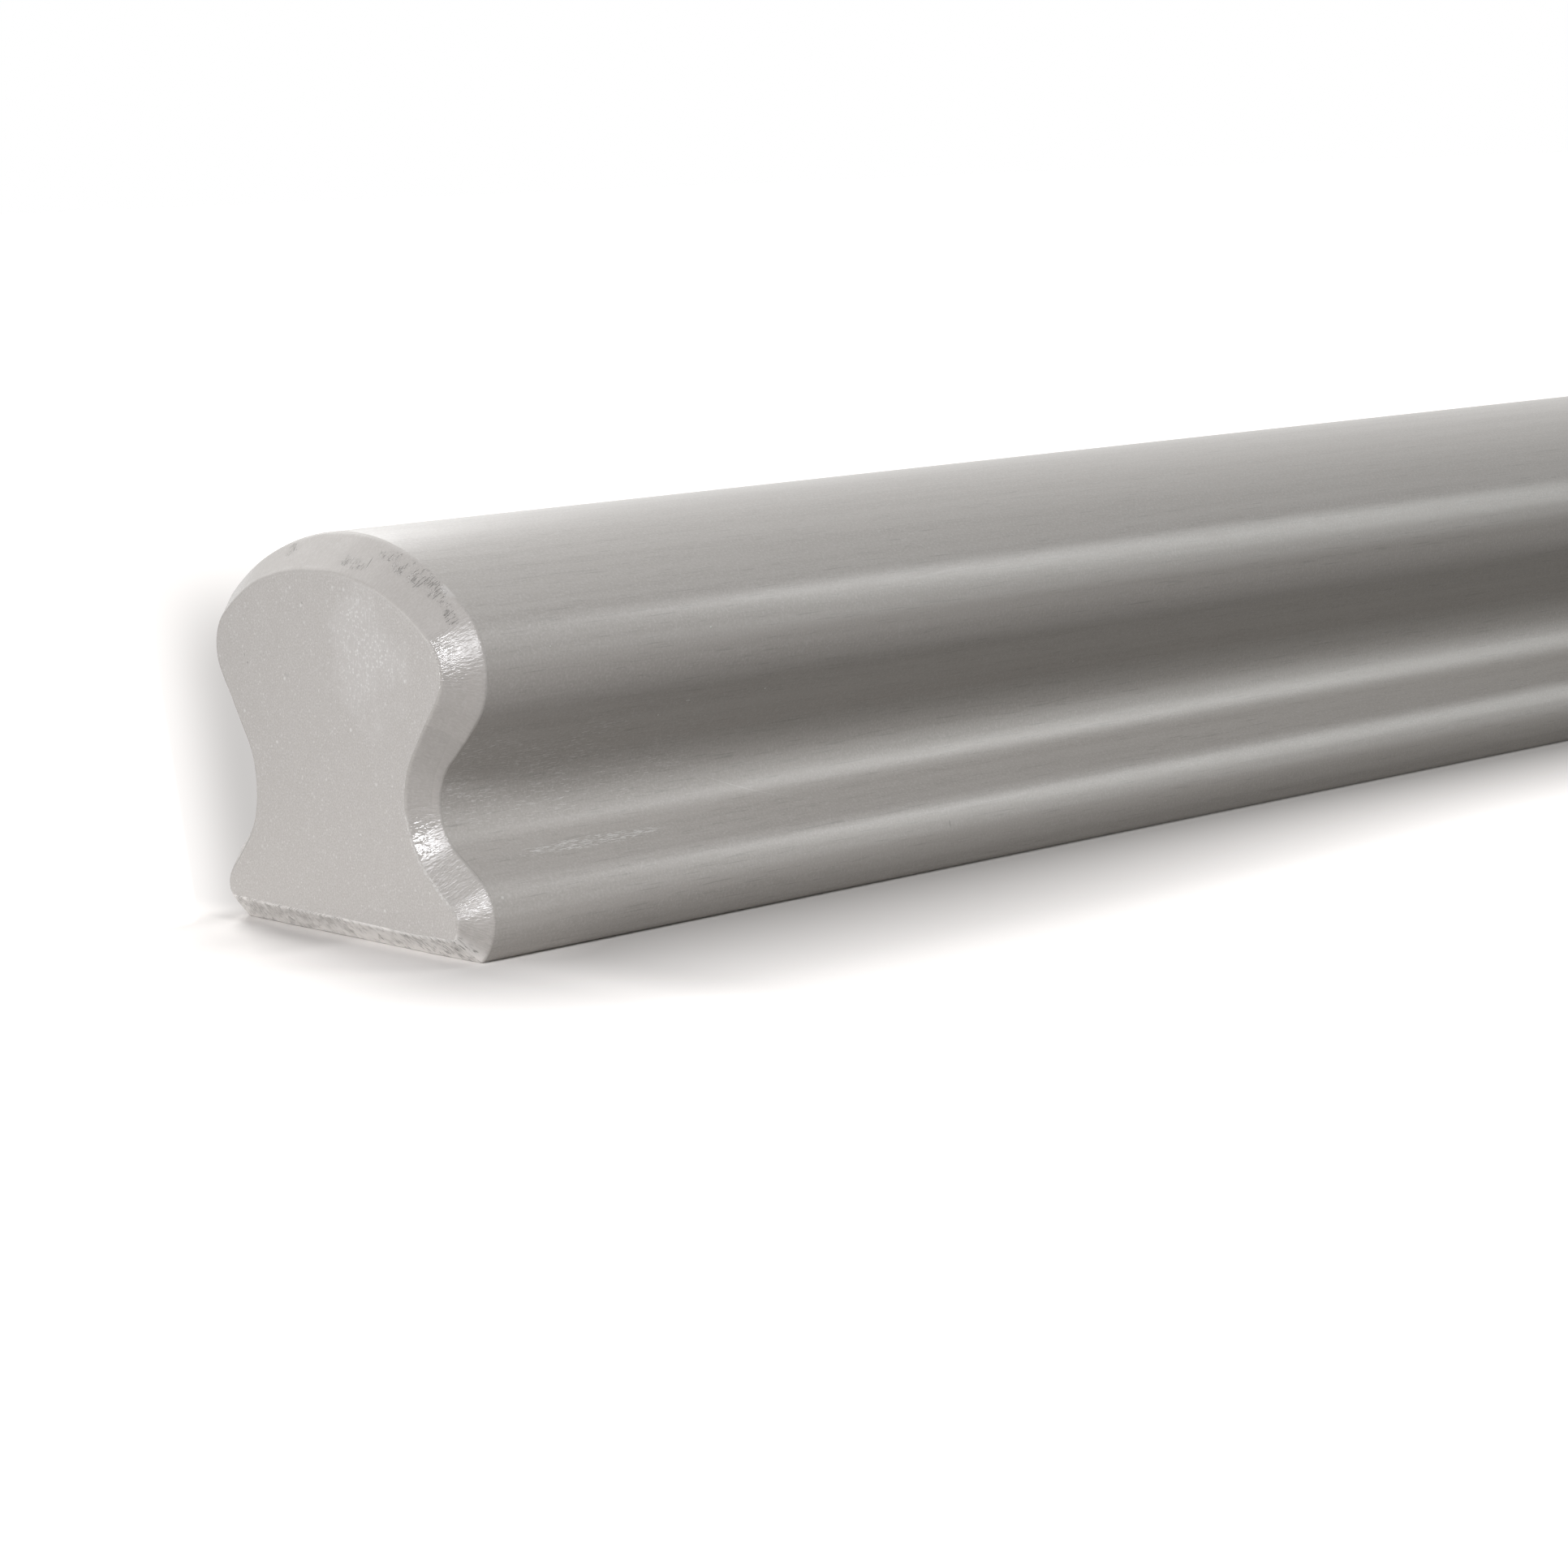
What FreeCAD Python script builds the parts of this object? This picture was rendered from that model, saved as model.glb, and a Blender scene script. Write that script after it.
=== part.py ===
"""Stair handrail length: one stick of moulded timber rail, chamfered at both ends.

The rail lies along X on its flat underside, with +Z up through the crown.
The origin is at the middle of the underside.  Lengths are in millimetres.

A quarter of the rail is modelled, the half of the section with +Y along the
half of the length with +X, and is mirrored to the other side and end.
"""
import FreeCAD
import Part

import math
import os

import Sketcher

# Driving sizes of the rail
SIZES = {
    "rail_length": 1500.0,     # stock length, from end to end
    "foot_width": 57.0,        # across the two rounded feet
    "foot_radius": 6.3,        # the rounded outer side of the foot
    "foot_tuck": 1.1,          # how far the foot's circle dips below the underside
    "skirt_slope": 36.0,       # degrees from level of the straight above the foot
    "skirt_straight": 5.0,     # its length, from the foot to the cove
    "cove_radius": 7.5,        # the hollow for thumb and fingers
    "flank_slope": 47.5,       # degrees from level of the straight above the cove
    "flank_straight": 7.8,     # its length, from the cove to the shoulder
    "shoulder_radius": 9.5,    # the round shoulder that the hand grips
    "crown_radius": 39.0,      # the domed top that the palm rests on
    "end_chamfer": 4.0,        # 45 degree chamfer all round each cut end
    "arris_radius": 0.8,       # easing of the underside's long edges and their mitres
}

START, END, CENTRE = range(1, 4)                # the points of a line or arc in a sketch
LEVEL_AXIS, UPRIGHT_AXIS = range(-1, -3, -1)    # the two axes of a sketch
SAME_PLACE = 1e-4                               # points nearer than this are one point
SAME_VOLUME = 1e-6                              # share by which equal volumes may differ


def make_sheet(doc):
    """Put each driving size in the spreadsheet as a plain number with its name."""
    sheet = doc.addObject("Spreadsheet::Sheet", "Sizes")
    for row, (name, value) in enumerate(SIZES.items(), start=1):
        sheet.set(f"A{row}", name)
        sheet.set(f"B{row}", str(value))
        sheet.setAlias(f"B{row}", name)
    doc.recompute()
    return sheet


def origin_plane(body, role):
    """Return the body's own origin plane with this role."""
    return next(plane for plane in body.Origin.OriginFeatures if plane.Role == role)


def moved(point, distance, degrees):
    """Return the point this far away, at an angle from the level line."""
    angle = math.radians(degrees)
    return point[0] + distance * math.cos(angle), point[1] + distance * math.sin(angle)


def section_arcs(sheet, inset):
    """Centre, radius and the two end angles of each arc, from the foot up.

    A straight leads from the foot to the cove, and a steeper one from the cove
    to the shoulder.  The shoulder lies inside the crown's circle and touches it.
    An inset of the section keeps the centres and changes the radii.
    """
    foot = sheet.foot_width / 2 - sheet.foot_radius, sheet.foot_radius - sheet.foot_tuck
    skirt_out = 90 - sheet.skirt_slope
    skirt_foot = moved(foot, sheet.foot_radius, skirt_out)
    skirt_cove = moved(skirt_foot, sheet.skirt_straight, skirt_out + 90)
    cove = moved(skirt_cove, sheet.cove_radius, skirt_out)
    flank_out = sheet.flank_slope - 90
    flank_cove = moved(cove, sheet.cove_radius, flank_out + 180)
    flank_shoulder = moved(flank_cove, sheet.flank_straight, sheet.flank_slope)
    shoulder = moved(flank_shoulder, sheet.shoulder_radius, flank_out + 180)
    reach = sheet.crown_radius - sheet.shoulder_radius
    drop = math.sqrt(reach**2 - shoulder[0]**2)
    crown = 0.0, shoulder[1] - drop
    crown_end = math.degrees(math.atan2(drop, shoulder[0]))
    foot_end = -math.degrees(math.asin((foot[1] - inset) / (sheet.foot_radius - inset)))
    return {
        "foot": (foot, sheet.foot_radius - inset, foot_end, skirt_out),
        "cove": (cove, sheet.cove_radius + inset, flank_out + 180, skirt_out + 180),
        "shoulder": (shoulder, sheet.shoulder_radius - inset, flank_out, crown_end),
        "crown": (crown, sheet.crown_radius - inset, crown_end, 90),
    }


def draw_arc(sketch, centre, radius, start_angle, end_angle):
    """Add an arc that runs anticlockwise from one angle to the other."""
    circle = Part.Circle(FreeCAD.Vector(*centre, 0), FreeCAD.Vector(0, 0, 1), radius)
    ends = math.radians(start_angle), math.radians(end_angle)
    return sketch.addGeometry(Part.ArcOfCircle(circle, *ends), False)


def draw_line(sketch, start, end):
    """Add a straight from one point of the section to another."""
    line = Part.LineSegment(FreeCAD.Vector(*start, 0), FreeCAD.Vector(*end, 0))
    return sketch.addGeometry(line, False)


def set_size(sketch, name, expression, *definition):
    """Add a size constraint, name it and tie it to the sheet."""
    index = sketch.addConstraint(Sketcher.Constraint(*definition))
    sketch.renameConstraint(index, name)
    sketch.setExpression(f"Constraints.{name}", expression)


def draw_half_section(body, sheet, name, across, inset_name=None):
    """Draw the half of the section with +Y and constrain it in full.

    across is the expression for its place along the rail.  inset_name is the
    size by which the outline lies inside the full one, if it does.
    """
    sketch = body.newObject("Sketcher::SketchObject", name)
    sketch.AttachmentSupport = [(origin_plane(body, "YZ_Plane"), "")]
    sketch.MapMode = "FlatFace"
    sketch.setExpression("AttachmentOffset.Base.z", across)
    inset = sheet.get(inset_name) if inset_name else 0.0
    wider = f" + Sizes.{inset_name}" if inset_name else ""
    tighter = f" - Sizes.{inset_name}" if inset_name else ""

    arcs = section_arcs(sheet, inset)
    start = {key: moved(arc[0], arc[1], arc[2]) for key, arc in arcs.items()}
    end = {key: moved(arc[0], arc[1], arc[3]) for key, arc in arcs.items()}
    shape = {key: draw_arc(sketch, *arc) for key, arc in arcs.items()}
    skirt = draw_line(sketch, end["foot"], end["cove"])
    flank = draw_line(sketch, start["cove"], start["shoulder"])
    base = draw_line(sketch, (0.0, inset), start["foot"])
    middle = draw_line(sketch, (0.0, inset), end["crown"])

    smooth_joints = [
        (shape["foot"], END, skirt, START),
        (skirt, END, shape["cove"], END),
        (shape["cove"], START, flank, START),
        (flank, END, shape["shoulder"], START),
        (shape["shoulder"], END, shape["crown"], START),
    ]
    corners = [
        (base, END, shape["foot"], START),
        (base, START, middle, START),
        (middle, END, shape["crown"], END),
    ]
    for joint in smooth_joints:
        sketch.addConstraint(Sketcher.Constraint("Tangent", *joint))
    for corner in corners:
        sketch.addConstraint(Sketcher.Constraint("Coincident", *corner))
    for point in ((middle, START), (middle, END), (shape["crown"], CENTRE)):
        sketch.addConstraint(Sketcher.Constraint("PointOnObject", *point, UPRIGHT_AXIS))
    sketch.addConstraint(Sketcher.Constraint("Horizontal", base))
    if inset_name:
        set_size(sketch, "base_up", f"Sizes.{inset_name}",
                 "DistanceY", LEVEL_AXIS, START, base, START, inset)
    else:
        sketch.addConstraint(
            Sketcher.Constraint("PointOnObject", base, START, LEVEL_AXIS))

    for key, change in (("foot", tighter), ("cove", wider),
                        ("shoulder", tighter), ("crown", tighter)):
        set_size(sketch, f"{key}_radius", f"Sizes.{key}_radius{change}",
                 "Radius", shape[key], arcs[key][1])
    foot_centre = arcs["foot"][0]
    set_size(sketch, "foot_side", "Sizes.foot_width / 2 - Sizes.foot_radius",
             "DistanceX", LEVEL_AXIS, START, shape["foot"], CENTRE, foot_centre[0])
    set_size(sketch, "foot_up", "Sizes.foot_radius - Sizes.foot_tuck",
             "DistanceY", LEVEL_AXIS, START, shape["foot"], CENTRE, foot_centre[1])
    set_size(sketch, "skirt_straight", "Sizes.skirt_straight",
             "Distance", skirt, sheet.skirt_straight)
    set_size(sketch, "flank_straight", "Sizes.flank_straight",
             "Distance", flank, sheet.flank_straight)
    set_size(sketch, "skirt_slope", "(180 - Sizes.skirt_slope) * 1 deg",
             "Angle", skirt, math.radians(180 - sheet.skirt_slope))
    set_size(sketch, "flank_slope", "Sizes.flank_slope * 1 deg",
             "Angle", flank, math.radians(sheet.flank_slope))
    return sketch


def mirror_all(body, name, role):
    """Mirror the whole body so far in one of its origin planes and join the two."""
    mirrored = body.newObject("PartDesign::Mirrored", name)
    mirrored.TransformMode = "Whole shape"
    mirrored.MirrorPlane = (origin_plane(body, role), [""])
    mirrored.Refine = True
    body.Tip = mirrored
    return mirrored


def arris_names(shape, sheet):
    """Name the long edges of the underside and the mitres that carry them on.

    Both kinds run along the rail from the corners where the underside, the
    foot and an end chamfer meet.
    """
    foot, radius, lowest = section_arcs(sheet, 0.0)["foot"][:3]
    half_base = moved(foot, radius, lowest)[0]
    shank_end = sheet.rail_length / 2 - sheet.end_chamfer
    corner = FreeCAD.Vector(shank_end, half_base, 0)
    names = []
    for number, edge in enumerate(shape.Edges, start=1):
        points = [vertex.Point for vertex in edge.Vertexes]
        folded = [FreeCAD.Vector(abs(p.x), abs(p.y), p.z) for p in points]
        meets_corner = any(p.distanceToPoint(corner) < SAME_PLACE for p in folded)
        if meets_corner and edge.BoundBox.XLength > SAME_PLACE:
            names.append(f"Edge{number}")
    return names


def make_rail(doc, sheet):
    """Build the stick: a padded half section, its chamfered end and the mirrors."""
    body = doc.addObject("PartDesign::Body", "Handrail")
    body.Label = "handrail"
    tip = "Sizes.rail_length / 2"
    section = draw_half_section(body, sheet, "HalfSection", "0 mm")
    stick = body.newObject("PartDesign::Pad", "Stick")
    stick.Profile = section
    stick.setExpression("Length", f"{tip} - Sizes.end_chamfer")
    shank = draw_half_section(body, sheet, "ChamferRoot", f"{tip} - Sizes.end_chamfer")
    face = draw_half_section(body, sheet, "EndFace", tip, "end_chamfer")
    chamfer = body.newObject("PartDesign::AdditiveLoft", "EndChamfer")
    chamfer.Profile = shank
    chamfer.Sections = [face]
    chamfer.Ruled = True
    doc.recompute()
    mirror_all(body, "BothSides", "XZ_Plane")
    doc.recompute()
    sharp = mirror_all(body, "BothEnds", "YZ_Plane")
    doc.recompute()
    arrises = body.newObject("PartDesign::Fillet", "Arrises")
    arrises.Base = (sharp, arris_names(sharp.Shape, sheet))
    arrises.setExpression("Radius", "Sizes.arris_radius")
    body.Tip = arrises
    doc.recompute()
    return body


def check(doc, body):
    """Stop where a feature failed or the rail isn't one sound solid."""
    for item in doc.Objects:
        if {"Invalid", "Error"} & set(item.State):
            raise RuntimeError(f"{item.Name} failed: {item.State}")
    shape = body.Shape
    if shape.isNull() or not shape.isValid() or len(shape.Solids) != 1:
        raise RuntimeError("The rail isn't one sound solid")
    quarter = doc.getObject("EndChamfer").Shape.Volume
    sharp = doc.getObject("BothEnds").Shape.Volume
    if abs(sharp / (4 * quarter) - 1) > SAME_VOLUME:
        raise RuntimeError("The mirrors didn't join the four quarters")
    if shape.Volume >= sharp:
        raise RuntimeError("The arrises weren't eased")


def main():
    doc = FreeCAD.newDocument("StairHandrail")
    sheet = make_sheet(doc)
    body = make_rail(doc, sheet)
    check(doc, body)
    os.makedirs("parts", exist_ok=True)
    body.Shape.exportStep(f"parts/{body.Label}.step")
    box = body.Shape.optimalBoundingBox(False)
    print(f"{body.Label}: {box.XLength:.2f} x {box.YLength:.2f} x {box.ZLength:.2f} mm,",
          f"{body.Shape.Volume / 1000:.1f} cm3")


main()
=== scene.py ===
# %% [markdown]
# # A length of painted stair handrail
#
# This lesson dresses one stick of moulded timber rail.  The joiner runs the
# stick through a moulder, which gives it a mushroom section: a domed crown for
# the palm, round shoulders, a cove for the thumb and finger tips, and a rounded
# foot on a flat underside.  The ends are cut square, chamfered with a router,
# and the whole stick is painted warm grey.
#
# The CAD model comes in first as a fixed frame.  Its solid says where the rail
# is and how large it is, and everything made here stays inside its box.

import math

import bmesh
import bpy
from mathutils import Matrix, Vector, noise


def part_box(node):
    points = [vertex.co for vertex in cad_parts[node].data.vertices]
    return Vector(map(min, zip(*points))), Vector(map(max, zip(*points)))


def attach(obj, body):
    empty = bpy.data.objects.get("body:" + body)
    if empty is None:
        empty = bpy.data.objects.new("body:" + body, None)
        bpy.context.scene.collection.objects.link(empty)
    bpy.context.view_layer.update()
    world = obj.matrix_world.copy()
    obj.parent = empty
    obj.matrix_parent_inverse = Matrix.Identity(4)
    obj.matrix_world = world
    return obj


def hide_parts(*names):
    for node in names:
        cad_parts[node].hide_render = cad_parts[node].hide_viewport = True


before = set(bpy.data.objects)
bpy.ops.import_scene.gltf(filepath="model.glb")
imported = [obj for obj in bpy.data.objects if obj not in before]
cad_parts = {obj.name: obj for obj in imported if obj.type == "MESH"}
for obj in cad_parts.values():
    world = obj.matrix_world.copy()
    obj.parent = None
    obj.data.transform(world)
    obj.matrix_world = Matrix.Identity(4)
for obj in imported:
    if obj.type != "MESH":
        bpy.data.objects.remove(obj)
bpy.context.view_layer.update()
rail_low, rail_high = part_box("handrail")
MM = 0.001
print("CAD rail in mm:", [round(side / MM, 2) for side in rail_high - rail_low])

# %% [markdown]
# ## Camera
#
# The picture was taken from the left of the near end, a little above the rail.
# A long lens from about half a metre keeps the end face nearly undistorted.  The
# place and the three turns below come from matching the outline of the end and
# the two long edges of the rail.

# %% Camera
CAMERA_PLACE = (-1.03624, -0.40813, 0.09618)
CAMERA_YAW, CAMERA_PITCH, CAMERA_ROLL = -41.739, -8.915, -2.238
camera_data = bpy.data.cameras.new("camera")
camera_data.sensor_width = 36.0
camera_data.lens = 89.353
camera_data.clip_start, camera_data.clip_end = 0.01, 100.0
camera = bpy.data.objects.new("camera", camera_data)
bpy.context.scene.collection.objects.link(camera)
camera.matrix_world = (
    Matrix.Translation(CAMERA_PLACE)
    @ Matrix.Rotation(math.radians(CAMERA_YAW), 4, "Z")
    @ Matrix.Rotation(math.radians(90 + CAMERA_PITCH), 4, "X")
    @ Matrix.Rotation(math.radians(CAMERA_ROLL), 4, "Z")
)
bpy.context.scene.camera = camera
print("camera looks along", [round(c, 3) for c in camera.matrix_world.col[2].xyz * -1])

# %% [markdown]
# ## The section
#
# A moulder's knife is ground to a chain of arcs and straights that run into one
# another without a corner, so the section is drawn in the same way.  A single
# point starts in the middle of the underside.  It is pushed out for each
# straight and spun about a centre for each arc, and the path that it leaves
# behind is half of the outline.  Drawing with spin keeps every arc a true
# circle, and the number of steps sets how fine the mesh is.

# %% Sizes of the section
FOOT_CENTRE = (22.2 * MM, 5.2 * MM)
FOOT_RADIUS = 6.3 * MM
ARRIS_RADIUS = 0.8 * MM
SKIRT_SLOPE = 36.0
SKIRT_LENGTH = 5.0 * MM
COVE_RADIUS = 7.5 * MM
FLANK_SLOPE = 47.5
FLANK_LENGTH = 7.8 * MM
SHOULDER_RADIUS = 9.5 * MM
CROWN_RADIUS = 39.0 * MM
CHAMFER = 4.0 * MM


def moved(point, distance, degrees):
    """Return the point this far away, at an angle from the level line."""
    angle = math.radians(degrees)
    return point[0] + distance * math.cos(angle), point[1] + distance * math.sin(angle)


skirt_out = 90 - SKIRT_SLOPE
flank_out = FLANK_SLOPE - 90
skirt_top = moved(moved(FOOT_CENTRE, FOOT_RADIUS, skirt_out), SKIRT_LENGTH, skirt_out + 90)
cove_centre = moved(skirt_top, COVE_RADIUS, skirt_out)
flank_top = moved(moved(cove_centre, COVE_RADIUS, flank_out + 180), FLANK_LENGTH, FLANK_SLOPE)
shoulder_centre = moved(flank_top, SHOULDER_RADIUS, flank_out + 180)
crown_drop = math.sqrt((CROWN_RADIUS - SHOULDER_RADIUS)**2 - shoulder_centre[0]**2)
crown_centre = (0.0, shoulder_centre[1] - crown_drop)
crown_start = math.degrees(math.atan2(crown_drop, shoulder_centre[0]))
print("centres in mm:", {name: [round(c / MM, 2) for c in centre] for name, centre in (
    ("cove", cove_centre), ("shoulder", shoulder_centre), ("crown", crown_centre))})

# %% Push and spin a point
STEPS = {"base": 74, "arris": 5, "foot": 33, "skirt": 14, "cove": 36, "flank": 22,
         "shoulder": 44, "crown": 78}


def pushed(mesh, tip, target, steps):
    """Push a point out to a target in short steps and return the last one."""
    step = (0, (target[0] - tip.co.y) / steps, (target[1] - tip.co.z) / steps)
    for _ in range(steps):
        tip = bmesh.ops.extrude_vert_indiv(mesh, verts=[tip])["verts"][0]
        bmesh.ops.translate(mesh, verts=[tip], vec=step)
    return tip


def spun(mesh, tip, centre, turn, steps):
    """Spin a point about a centre by so many degrees and return the last one."""
    last = bmesh.ops.spin(
        mesh, geom=[tip], cent=(tip.co.x, *centre), axis=(1, 0, 0), dvec=(0, 0, 0),
        angle=math.radians(turn), steps=steps, use_merge=False, use_duplicate=False)
    return next(item for item in last["geom_last"] if isinstance(item, bmesh.types.BMVert))


def draw_half_outline(mesh, x, inset):
    """Draw half of the outline at a place along the rail, and return its points.

    An inset outline keeps the centres of the arcs: a round loses the inset from
    its radius and the cove gains it.
    """
    drawn = len(mesh.verts)
    arris_up = inset + ARRIS_RADIUS - FOOT_CENTRE[1]
    arris_out = math.sqrt((FOOT_RADIUS - inset - ARRIS_RADIUS)**2 - arris_up**2)
    arris_centre = (FOOT_CENTRE[0] + arris_out, inset + ARRIS_RADIUS)
    foot_start = math.degrees(math.atan2(arris_up, arris_out))
    tip = mesh.verts.new((x, 0, inset))
    tip = pushed(mesh, tip, (arris_centre[0], inset), STEPS["base"])
    tip = spun(mesh, tip, arris_centre, foot_start + 90, STEPS["arris"])
    tip = spun(mesh, tip, FOOT_CENTRE, skirt_out - foot_start, STEPS["foot"])
    tip = pushed(mesh, tip, moved(cove_centre, COVE_RADIUS + inset, skirt_out + 180), STEPS["skirt"])
    tip = spun(mesh, tip, cove_centre, flank_out - skirt_out, STEPS["cove"])
    tip = pushed(mesh, tip, moved(shoulder_centre, SHOULDER_RADIUS - inset, flank_out), STEPS["flank"])
    tip = spun(mesh, tip, shoulder_centre, crown_start - flank_out, STEPS["shoulder"])
    tip = spun(mesh, tip, crown_centre, 90 - crown_start, STEPS["crown"])
    tip.co.y = 0.0
    mesh.verts.ensure_lookup_table()
    return mesh.verts[drawn:]


# %% [markdown]
# ## The stick and its chamfers
#
# A stick with chamfered ends needs only four ribs: the full outline where each
# chamfer starts, and a smaller one at each cut end.  Because all four are drawn
# with the same number of steps, they can be bridged point to point, as a
# boatbuilder planks a hull.  A bevel would work on a plain bar, but it fails
# where a chamfer this wide has to turn round the small radius of the foot.
#
# Paint and grain run round and along the stick, so each point also remembers
# how far round the section it lies, measured from the top of the crown.

# %% Four ribs
half_length = rail_high.x
root_x = half_length - CHAMFER
ribs = [(-half_length, CHAMFER), (-root_x, 0.0), (root_x, 0.0), (half_length, CHAMFER)]
rail_mesh = bmesh.new()
girth = rail_mesh.verts.layers.float.new("girth")
halves = [list(reversed(draw_half_outline(rail_mesh, x, inset))) for x, inset in ribs]
full_half = halves[1]
half_girth = 0.0
for place, point in enumerate(full_half):
    if place > 0:
        half_girth += (point.co - full_half[place - 1].co).length
    for half in halves:
        half[place][girth] = half_girth
bmesh.ops.mirror(
    rail_mesh, geom=rail_mesh.verts[:] + rail_mesh.edges[:], matrix=Matrix.Identity(4),
    merge_dist=1e-7, axis="Y")
print("half way round the section:", round(half_girth / MM, 1), "mm;",
      "points in a rib:", len(rail_mesh.verts) // len(ribs))

# %% Plank the ribs and close the ends


def rib_edges(x):
    """Edges of the rib at this place along the rail."""
    return [e for e in rail_mesh.edges if all(abs(v.co.x - x) < 1e-6 for v in e.verts)]


for (x, _), (next_x, _) in zip(ribs, ribs[1:]):
    bmesh.ops.bridge_loops(rail_mesh, edges=rib_edges(x) + rib_edges(next_x))
for x in (-half_length, half_length):
    bmesh.ops.edgeloop_fill(rail_mesh, edges=rib_edges(x))
bmesh.ops.recalc_face_normals(rail_mesh, faces=rail_mesh.faces[:])
uneven = max(abs(e.verts[0][girth] - e.verts[1][girth]) for e in rail_mesh.edges
             if abs(e.verts[0].co.x - e.verts[1].co.x) > MM)
print("faces:", len(rail_mesh.faces), "largest slip between partners in mm:", round(uneven / MM, 4))

# %% [markdown]
# The router was held by hand, so the real chamfer isn't equally wide all the
# way round: it is widest over the crown and narrowest in the cove at the back.
# Each line across the chamfer is stretched or shortened to the width that
# belongs to its place round the section, with a slight waver on top.

# %% Width of the hand-cut chamfer
FRONT_WIDTHS = [(0, 4.68), (24, 4.25), (40, 4.03), (56, 3.03), (70, 3.56), (80, 3.0), (90, 2.8), (106, 3.1)]
BACK_WIDTHS = [(0, 4.68), (24, 3.3), (40, 3.9), (56, 1.5), (70, 3.6), (80, 3.4), (90, 3.2), (106, 3.1)]
WAVER, WAVER_SIZE, WAVER_SEED = 0.09 * MM, 6 * MM, 3.0


def cut_width(around, front):
    """Width of the chamfer at a distance round the section from the crown."""
    widths = FRONT_WIDTHS if front else BACK_WIDTHS
    for (start, wide), (stop, next_wide) in zip(widths, widths[1:]):
        if around <= stop * MM:
            break
    share = min(max((around / MM - start) / (stop - start), 0.0), 1.0)
    share = share * share * (3 - 2 * share)
    return (wide + (next_wide - wide) * share) * MM


def waver(place, size, seed):
    """Smooth random value from -1 to 1 that changes over this size."""
    return noise.noise(Vector(place) / size + Vector((seed, 0, 0)))


lines_across = [edge for edge in rail_mesh.edges
                if 0.5 * CHAMFER < abs(edge.verts[0].co.x - edge.verts[1].co.x) < 2 * CHAMFER]
for line in lines_across:
    inner, outer = sorted(line.verts, key=lambda v: abs(v.co.x), reverse=True)
    width = cut_width(outer[girth], outer.co.y < 0)
    width += WAVER * waver(outer.co, WAVER_SIZE, WAVER_SEED)
    share = width / CHAMFER
    side = math.copysign(1, outer.co.x)
    inner.co.y = outer.co.y + (inner.co.y - outer.co.y) * share
    inner.co.z = outer.co.z + (inner.co.z - outer.co.z) * share
    outer.co.x = side * (half_length - width)
print("lines across the two chamfers:", len(lines_across))

# %% [markdown]
# Paint draws back from a sharp edge and leaves it round, so a small bevel rounds
# the two rims of each chamfer.  After that the chamfer is divided into rows, so
# that it can take the slight unevenness of hand work as real shape.

# %% Round the painted edges
PAINT_EDGE = 0.25 * MM
BETWEEN_SLOPES = 0.2


def is_rim(edge):
    """A rim of a chamfer lies across the rail, between two different slopes."""
    if len(edge.link_faces) != 2 or abs(edge.verts[0].co.x) < root_x - 2 * MM:
        return False
    slopes = sorted(abs(face.normal.x) for face in edge.link_faces)
    return slopes[1] - slopes[0] > BETWEEN_SLOPES


rail_mesh.normal_update()
rounded = [edge for edge in rail_mesh.edges if is_rim(edge)]
bmesh.ops.bevel(
    rail_mesh, geom=rounded, offset=PAINT_EDGE, offset_type="OFFSET", segments=4,
    profile=0.5, affect="EDGES", clamp_overlap=True, material=-1, loop_slide=True)
print("edges rounded:", len(rounded))

# %% Rows across the chamfer and along the stick
CHAMFER_ROWS = 13
STICK_ROWS = 24
UNEVEN = 0.035 * MM
# Size and seed of the lumps, how strong the fine ones are, and how far it all sinks
BROAD_LUMPS, FINE_LUMPS, FINE_SHARE, SUNK = (3.5 * MM, 11.0), (1.3 * MM, 17.0), 0.4, 0.5
INSIDE_RIM, CUT_SLOPES = 0.4 * MM, (0.5, 0.85)
CUT_SPANS, LONG_SPAN = (1.5 * MM, 8 * MM), 1.0


def span(edge):
    """How far an edge runs along the rail."""
    return abs(edge.verts[0].co.x - edge.verts[1].co.x)


bmesh.ops.subdivide_edges(
    rail_mesh, edges=[e for e in rail_mesh.edges if CUT_SPANS[0] < span(e) < CUT_SPANS[1]],
    cuts=CHAMFER_ROWS, use_grid_fill=True)
bmesh.ops.subdivide_edges(
    rail_mesh, edges=[e for e in rail_mesh.edges if span(e) > LONG_SPAN],
    cuts=STICK_ROWS, use_grid_fill=True)
rail_mesh.normal_update()
for vertex in rail_mesh.verts:
    depth = half_length - abs(vertex.co.x)
    slope = abs(vertex.normal.x)
    if INSIDE_RIM < depth and CUT_SLOPES[0] < slope < CUT_SLOPES[1]:
        lift = waver(vertex.co, *BROAD_LUMPS) + FINE_SHARE * waver(vertex.co, *FINE_LUMPS)
        vertex.co += vertex.normal * UNEVEN * (lift - SUNK)
end_faces = [face for face in rail_mesh.faces if len(face.verts) > 50]
bmesh.ops.inset_region(
    rail_mesh, faces=end_faces, faces_exclude=[], use_boundary=True, use_even_offset=True,
    use_interpolate=True, use_relative_offset=False, use_edge_rail=False,
    thickness=PAINT_EDGE, depth=0.0, use_outset=False)
print("faces:", len(rail_mesh.faces))

# %% [markdown]
# ## The finished mesh
#
# Three finishes meet on the stick: the long moulded faces, the routed chamfers
# and the cut end faces.  Each face gets the number of its finish.  The UV map
# called unrolled is in metres: one direction goes round the section and the
# other along the rail, as if the paint were peeled off and laid flat.  On a
# chamfer the second one is stretched by the root of two, because the cut slopes.

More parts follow.
